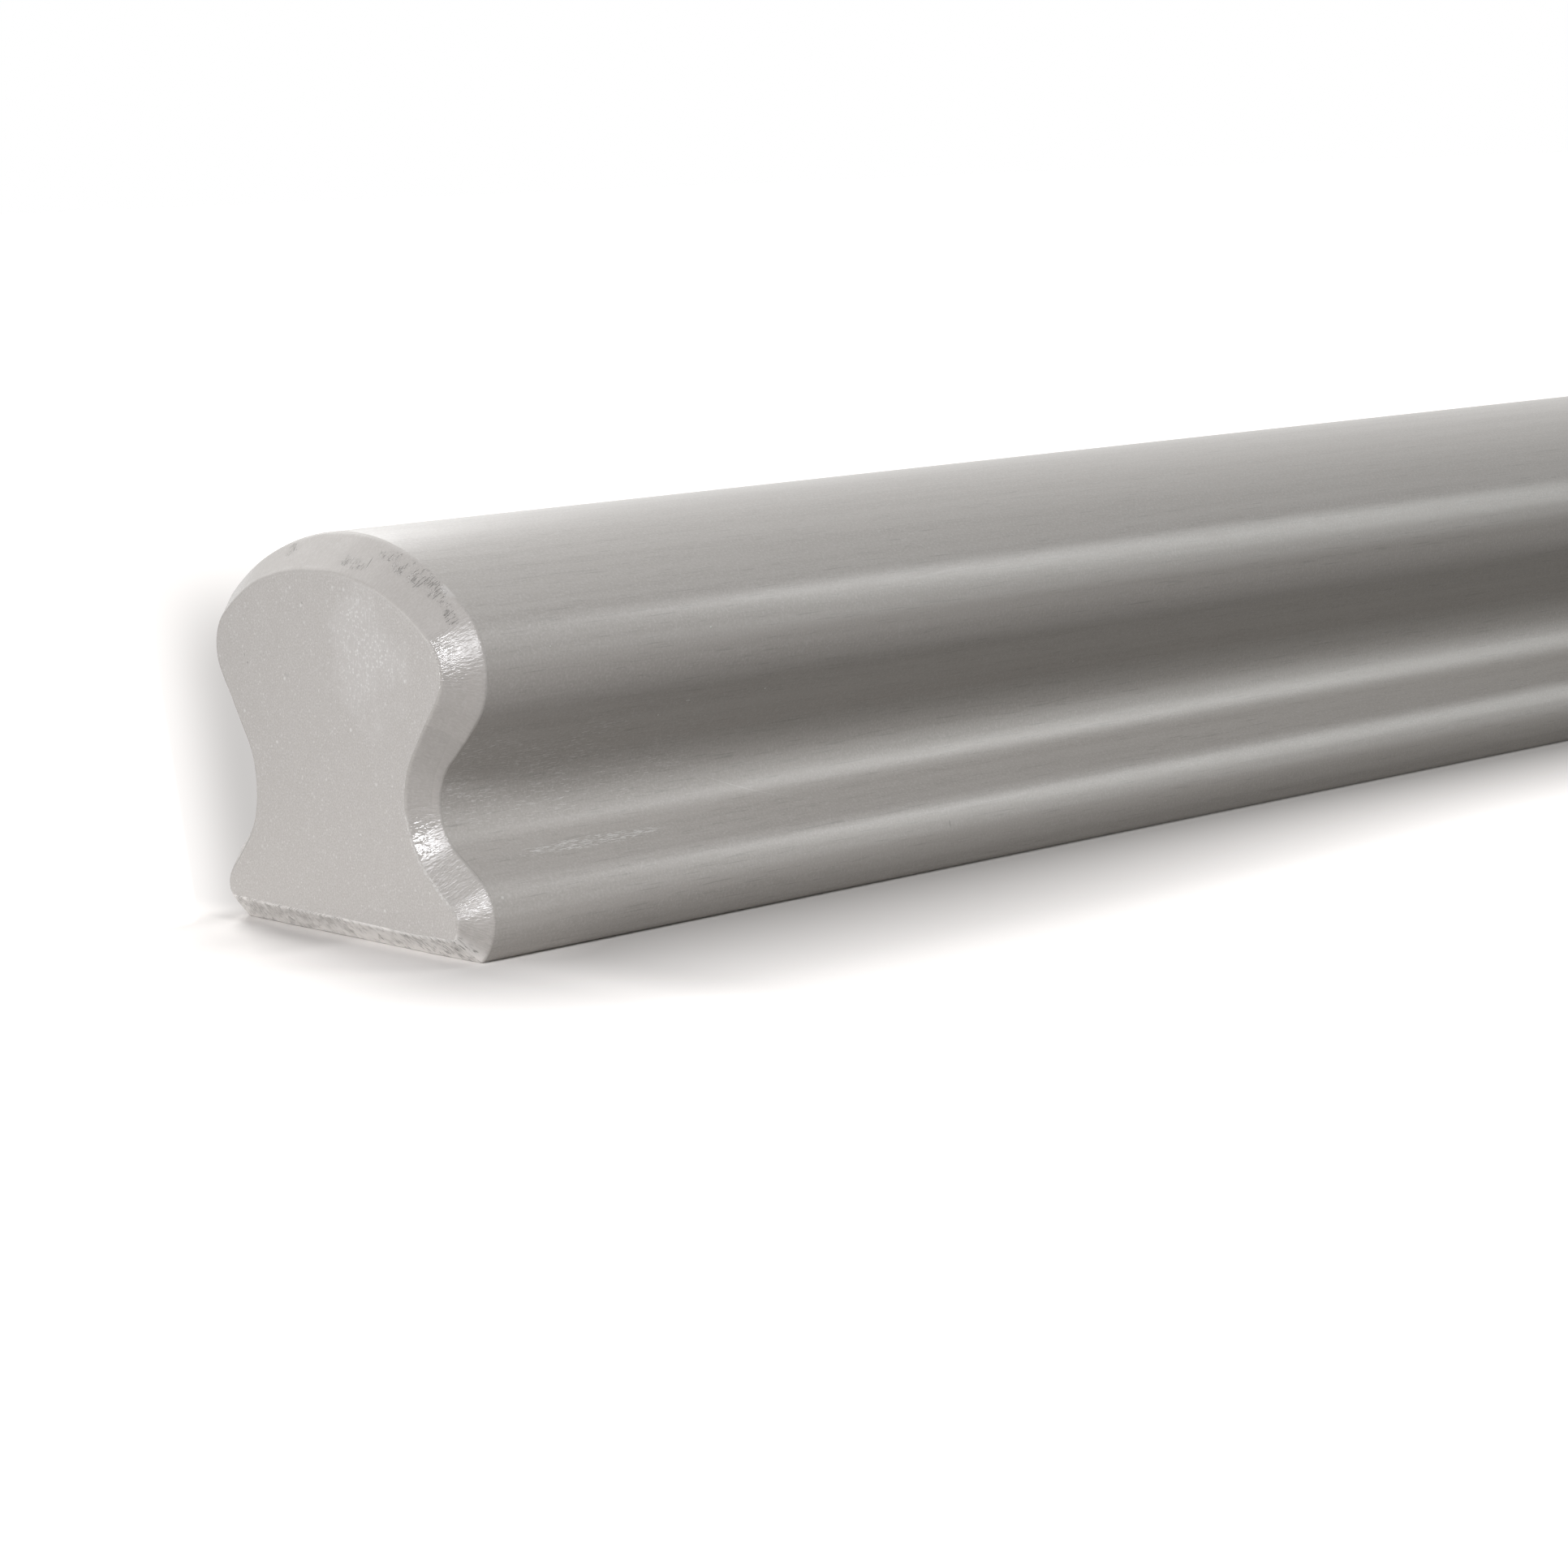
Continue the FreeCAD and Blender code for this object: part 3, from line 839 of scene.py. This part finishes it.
# %% Fibre tips of the cut end and their painted glints
cut_end_paint, tree, shader = new_finish("cut_end_paint")
spot = tree.nodes.new("ShaderNodeTexCoord").outputs["Object"]
sheen_blotch = use_group(tree, ragged_patch, Vector=spot, Centre=(-0.75, -0.0086, 0.0385), Squash=(1, 1.05, 0.85),
                   Reach=0.0100, Softness=0.0070, Ragged=0.014, Grain=0.005)["Mask"]
tips = use_group(tree, nibs, Vector=spot, Spacing=0.00060, Size=0.00028, Share=0.55)["Mask"]
fine_tips = use_group(tree, nibs, Vector=spot, Spacing=0.00034, Size=0.00018, Share=0.6)["Mask"]
big_tips = use_group(tree, nibs, Vector=spot, Spacing=0.0024, Size=0.00036, Share=0.6)["Mask"]
close_tips = use_group(tree, nibs, Vector=spot, Spacing=0.00040, Size=0.00028, Share=0.9)["Mask"]
spot_parts = add_node(tree, "ShaderNodeSeparateXYZ", Vector=spot).outputs
upright = add_node(tree, "ShaderNodeCombineXYZ", X=spot_parts[2], Y=spot_parts[1]).outputs[0]
strokes = use_group(tree, grain_lines, Vector=upright, Length=0.0020, Spacing=0.00034, Depth=0.0)["Tone"]
strokes = product(tree, step_between(tree, strokes, 0.56, 0.70), sheen_blotch)
glinting_tips = largest(tree, [product(tree, tips, 0.55), product(tree, fine_tips, 0.40),
                      product(tree, big_tips, 0.85), product(tree, close_tips, sheen_blotch, 1.0),
                      product(tree, strokes, 0.40)])
print("nodes:", len(tree.nodes))

# %% Pinholes and the ring of the cut end
RING, RING_RADIUS, RING_HOLE, HOLE_RISE = (-0.75, 0.0087, 0.0345), 0.00048, 0.00034, 0.0002
PIN_DOTS, DOT_RADIUS = [(0.0182, 0.0364), (0.0176, 0.0354), (0.0044, 0.0440)], 0.00020


def round_spot(centre, radius):
    """Return the mask of one small round spot on the cut end."""
    return use_group(tree, ragged_patch, Vector=spot, Centre=centre, Reach=radius,
                     Softness=0.0001, Ragged=0.0, Grain=0.001)["Mask"]


ring_hole = round_spot((RING[0], RING[1], RING[2] + HOLE_RISE), RING_HOLE)
ring = calc(tree, "SUBTRACT", round_spot(RING, RING_RADIUS), ring_hole, clamp=True)
dots = largest(tree, [round_spot((RING[0], *one), DOT_RADIUS) for one in PIN_DOTS])
pinholes = use_group(tree, nibs, Vector=spot, Spacing=0.0085, Size=0.00045, Share=0.3)["Mask"]
dark = largest(tree, [pinholes, dots, product(tree, ring, 0.5)])
print("pin dots:", len(PIN_DOTS))

# %% Colour and relief of the cut end
TIP_HEIGHT = 1.5e-5
grain = use_group(tree, orange_peel, Vector=spot, Size=0.00024, Depth=4e-6)
mottle = use_group(tree, orange_peel, Vector=spot, Size=0.0008, Depth=2e-6)
peel = use_group(tree, orange_peel, Vector=spot, Size=0.0030, Depth=8e-6)
colour = blend_colours(tree, step_between(tree, grain["Tone"], 0.3, 0.7), PAINT_DARK, PAINT_PALE)
mottled = step_between(tree, mottle["Tone"], 0.35, 0.65, 0.25, 0.0)
colour = blend_colours(tree, mottled, colour, PAINT_DARK)
# Painted sheen and highlight: the blotch is laid paler, and the fibre tips pale as glints.
colour = tinted(tree, colour, sheen_blotch, 0.7, PAINT_PALE)
colour = blend_colours(tree, glinting_tips, colour, NIB_AND_GLINT)
colour = tinted(tree, colour, dark, 0.5, TORN_FIBRE_AND_SHADE)
roughness = step_between(tree, peel["Tone"], 0.3, 0.7, 0.48, 0.58)
lay_on(tree, shader, colour, roughness, [
    grain["Height"], mottle["Height"], peel["Height"], product(tree, glinting_tips, TIP_HEIGHT)])

# %% Put the finishes on the rail and fix it to the frame
for finish in (moulded_paint, routed_paint, cut_end_paint):
    rail_data.materials.append(finish)
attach(painted_rail, "root")
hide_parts("handrail")
print("finishes:", {m.name: len(m.node_tree.nodes) for m in rail_data.materials})

# %% [markdown]
# ## Studio
#
# The rail lies on a plain pale floor in soft light, and what the camera sees
# round it is white paper.  The floor does two jobs.  For soft light it has a
# plain colour of its own: a warm white card close to the rail, which lights the
# end and the foot from below, and a dull one farther out and behind the rail,
# which keeps the undersides of the moulding dark.  For the camera it glows, and
# for gloss it glows six tenths as much.
#
# The glow is worked out backwards.  The script first says how bright the paper
# should look at each place, and then takes off what the lamps already give it.
# Round the rail that brightness drops, so the shadow there is a painted shadow in
# the glow.

# %% Light path mask


def seen_directly(tree, gloss=1.0):
    """Return 1 for the camera and glass, this share for gloss, and 0 for soft light."""
    rays = add_node(tree, "ShaderNodeLightPath").outputs
    seen = calc(tree, "MAXIMUM", rays["Is Camera Ray"], calc(tree, "MULTIPLY", rays["Is Glossy Ray"], gloss))
    return calc(tree, "MAXIMUM", seen, rays["Is Transmission Ray"])


# %% Floor
FLOOR_HALF_SIZE = 30.0
floor_mesh = bmesh.new()
bmesh.ops.create_grid(floor_mesh, x_segments=1, y_segments=1, size=FLOOR_HALF_SIZE)
floor_data = bpy.data.meshes.new("floor")
floor_mesh.to_mesh(floor_data)
floor_mesh.free()
floor = bpy.data.objects.new("floor", floor_data)
bpy.context.scene.collection.objects.link(floor)
floor_paint, tree, shader = new_finish("floor_paint")
floor_data.materials.append(floor_paint)
shader.inputs["Roughness"].default_value = 0.9
shader.inputs["Specular IOR Level"].default_value = 0.0
shader.inputs["Emission Color"].default_value = (1.0, 0.975, 0.960, 1)
print("floor, from side to side in m:", 2 * FLOOR_HALF_SIZE)

# %% Distance from the rail's footprint
half_width = rail_high.y
spot = tree.nodes.new("ShaderNodeTexCoord").outputs["Object"]
floor_x, floor_y, _ = add_node(tree, "ShaderNodeSeparateXYZ", Vector=spot).outputs
past_end = calc(tree, "SUBTRACT", calc(tree, "ABSOLUTE", floor_x), half_length)
past_end = calc(tree, "MAXIMUM", past_end, 0.0)
past_side = calc(tree, "SUBTRACT", calc(tree, "ABSOLUTE", floor_y), half_width)
past_side = calc(tree, "MAXIMUM", past_side, 0.0)
print("footprint in mm:", round(2 * half_length / MM), "by", round(2 * half_width / MM))


def distance_in(end_unit, side_unit):
    """Distance from the rail's footprint, counted in these two units."""
    end_part = calc(tree, "DIVIDE", past_end, end_unit)
    side_part = calc(tree, "DIVIDE", past_side, side_unit)
    return length_of(tree, add_node(tree, "ShaderNodeCombineXYZ", X=end_part, Y=side_part).outputs[0])


# %% Card for soft light
WHITE_CARD, SIDE_CARD, DULL_CARD = 0.72, 0.56, 0.14
BLACK, WARM_WHITE = (0.0, 0.0, 0.0, 1.0), (1.015, 0.985, 0.955, 1.0)
CARD_EDGE = in_mm(18.0, 65.0)
FAR_DULLER = -0.02
FAR_PART = from_end(30, 180)
card = step_between(tree, distance_in(1.0, 1.0), *CARD_EDGE, 1.0, 0.0)
behind = product(tree, step_between(tree, floor_x, *from_end(-2, 8)),
                 step_between(tree, floor_y, *in_mm(20, 40)))
card = product(tree, card, calc(tree, "SUBTRACT", 1.0, behind))
white = step_between(tree, floor_x, *from_end(8, 25), WHITE_CARD, SIDE_CARD)
white = calc(tree, "ADD", white, step_between(tree, floor_x, *FAR_PART, 0.0, FAR_DULLER))
card = calc(tree, "MULTIPLY_ADD", card, calc(tree, "SUBTRACT", white, DULL_CARD), DULL_CARD)
tree.links.new(blend_colours(tree, card, BLACK, WARM_WHITE), shader.inputs["Base Color"])

# %% [markdown]
# This level paints the shadow round the rail.  Beside the rail the painted shadow
# is darkest along the foot and whitens over a few centimetres, faster along the far
# part.  Before the cut end it stays lighter.  On the back half of that end the
# paper is painted a little darker close to the rail, and off the back corner a
# little lighter, than this rule alone would make it.

# %% Level beside the rail
LEVEL_BY_END, LEVEL_BY_SIDE, LEVEL_FAR = 0.70, 0.40, 0.38
FADE_END, FADE_SIDE, FADE_FAR = in_mm(68.0, 67.0, 41.0)
LIGHTER_CORNER, DARKER_CLOSE_BY = 0.17, -0.09
PAPER_WHITE = 1.15
level = step_between(tree, floor_x, *from_end(-6, 17), LEVEL_BY_END, LEVEL_BY_SIDE)
level = calc(tree, "ADD", level, step_between(tree, floor_x, *FAR_PART, 0.0, LEVEL_FAR - LEVEL_BY_SIDE))
side_unit = step_between(tree, floor_x, *FAR_PART, FADE_SIDE, FADE_FAR)
level = calc(tree, "ADD", level, distance_in(FADE_END, side_unit))
back_corner = product(tree, step_between(tree, floor_y, *in_mm(10, 24)),
                      step_between(tree, floor_x, *from_end(1.5, -1)))
level = calc(tree, "MULTIPLY_ADD", back_corner, LIGHTER_CORNER, level)
close_by = product(tree, step_between(tree, floor_y, *in_mm(-3, 4)),
                   step_between(tree, floor_x, *from_end(-18, -7)))
level = calc(tree, "MULTIPLY_ADD", close_by, DARKER_CLOSE_BY, level)
level = calc(tree, "MINIMUM", level, PAPER_WHITE)

# %% [markdown]
# A soft band of painted shadow starts at the back corner of the near end and
# runs off behind the rail, growing wider and fainter.  It runs nearly along the
# camera's line of sight, so the picture shows it as a soft painted shadow to the
# left of the end.

# %% Painted band of shadow behind the rail
BAND_START, BAND_TURN = (-0.744, 0.031, 0), 56.8
BAND_WIDTH, BAND_SPREAD, BAND_SHIFT = 0.0113, 0.0260, 0.003
CLEAR_BACK, BAND_DEPTH, BAND_EDGE = 1.30, -0.45, -0.295
BAND_LEFT, BAND_RIGHT, BAND_FADES = (1.0, 0.0), (-4.5, -1.5), (0.56, 0.25)
turned = {"Location": BAND_START, "Rotation": (0, 0, math.radians(BAND_TURN))}
band = add_node(tree, "ShaderNodeMapping", {"vector_type": "TEXTURE"}, Vector=spot, **turned).outputs[0]
along_band, across_band, _ = add_node(tree, "ShaderNodeSeparateXYZ", Vector=band).outputs
band_width = calc(tree, "MULTIPLY_ADD", along_band, BAND_SPREAD, BAND_WIDTH)
into_band = calc(tree, "DIVIDE", calc(tree, "ADD", across_band, BAND_SHIFT), band_width)
painted_band_shadow = product(tree, stretch(tree, into_band, BAND_LEFT, BAND_RIGHT),
               step_between(tree, along_band, *BAND_FADES))
back_level = calc(tree, "MULTIPLY_ADD", painted_band_shadow, BAND_DEPTH, CLEAR_BACK)
back_level = calc(tree, "ADD", back_level, step_between(tree, painted_band_shadow, 0.0, 0.10, 0.0, BAND_EDGE))

# %% Join the two levels behind the rail
past_back = step_between(tree, floor_y, *in_mm(26, 34))
open_back = product(tree, past_back, step_between(tree, floor_x, *from_end(90, 60)))
level = calc(tree, "MULTIPLY_ADD", open_back, calc(tree, "SUBTRACT", back_level, level), level)
front_room = calc(tree, "SUBTRACT", 1.0, past_back)
level = calc(tree, "MINIMUM", level, calc(tree, "ADD", back_level, front_room))

# %% Glow of the floor
LIT_BY_END, LIT_BY_SIDE, LESS_LIT_FAR = 0.82, 0.70, -0.18
GLOSS_SHARE = 0.6
lamplight = step_between(tree, floor_x, *from_end(-2, 6), LIT_BY_END, LIT_BY_SIDE)
lamplight = calc(tree, "ADD", lamplight, step_between(tree, floor_x, *FAR_PART, 0.0, LESS_LIT_FAR))
glow = calc(tree, "SUBTRACT", level, calc(tree, "MULTIPLY", card, lamplight))
glow = calc(tree, "MAXIMUM", glow, 0.0)
glow = calc(tree, "MULTIPLY", glow, seen_directly(tree, GLOSS_SHARE))
tree.links.new(glow, shader.inputs["Emission Strength"])
print("nodes in the floor's paint:", len(tree.nodes))

# %% [markdown]
# A white tent stands round it all for the camera and for gloss, and gives next
# to no soft light.  The shape is drawn by lamps: a small key on the cut end, a
# low wash from the left, one lamp above and behind, and strips at the right on
# the camera's side, which draw the light bands along the moulding.

# %% World
SOFT_LIGHT = 0.03
world = bpy.data.worlds.new("tent")
bpy.context.scene.world = world
world.use_nodes = True
tree = world.node_tree
background = next(n for n in tree.nodes if n.type == "BACKGROUND")
background.inputs["Color"].default_value = (1, 1, 1, 1)
strength = calc(tree, "MAXIMUM", seen_directly(tree), SOFT_LIGHT)
tree.links.new(strength, background.inputs["Strength"])
print("soft light of the tent:", SOFT_LIGHT)

# %% Lamps
WHITE, KEY_TINT, STRIP_TINT = (1, 1, 1), (1.0, 1.0, 1.03), (0.98, 1.0, 0.975)
AIM_HEIGHT = 0.03
AIM = Vector((*from_end(100), 0, AIM_HEIGHT))
HIGH_STRIP = ((0.3, -0.7, 1.0), (0.35, 0.35), 1.94, WHITE)
# Azimuth, elevation and distance from the aim, size in m, power in W and tint
LAMPS = {
    "key": (205, 25, 0.5, (0.12, 0.12), 1.38, KEY_TINT),
    "back wash": (148, 4, 1.4, (0.6, 0.2), 4.6, WHITE),
    "back top": (72, 40, 1.4, (0.6, 0.6), 15.3, WHITE),
    "low strip": (-45, 8, 2.6, (0.7, 0.7), 3.3, STRIP_TINT),
    "middle strip": (-36, 24, 2.6, (0.7, 0.7), 7.3, STRIP_TINT),
    "upper strip": (-27, 34, 2.6, (0.7, 0.7), 5.0, STRIP_TINT),
}


def soft_lamp(name, place, size, power, tint):
    """Hang a rectangular soft lamp that faces the near part of the rail."""
    data = bpy.data.lights.new(name, "AREA")
    data.shape = "RECTANGLE"
    data.size, data.size_y = size
    data.energy = power
    data.color = tint
    lamp = bpy.data.objects.new(name, data)
    bpy.context.scene.collection.objects.link(lamp)
    lamp.location = place
    lamp.rotation_euler = (AIM - Vector(place)).to_track_quat("-Z", "Y").to_euler()


def round_the_end(azimuth, elevation, distance):
    """A place in this direction and at this distance from the aim."""
    turn, rise = math.radians(azimuth), math.radians(elevation)
    flat = distance * math.cos(rise)
    return (AIM.x + flat * math.cos(turn), AIM.y + flat * math.sin(turn), AIM.z + distance * math.sin(rise))


for name, (azimuth, elevation, distance, size, power, tint) in LAMPS.items():
    soft_lamp(name, round_the_end(azimuth, elevation, distance), size, power, tint)
soft_lamp("high strip", *HIGH_STRIP)
bpy.context.scene.view_settings.view_transform = "Standard"
print("lamps:", len(LAMPS) + 1)
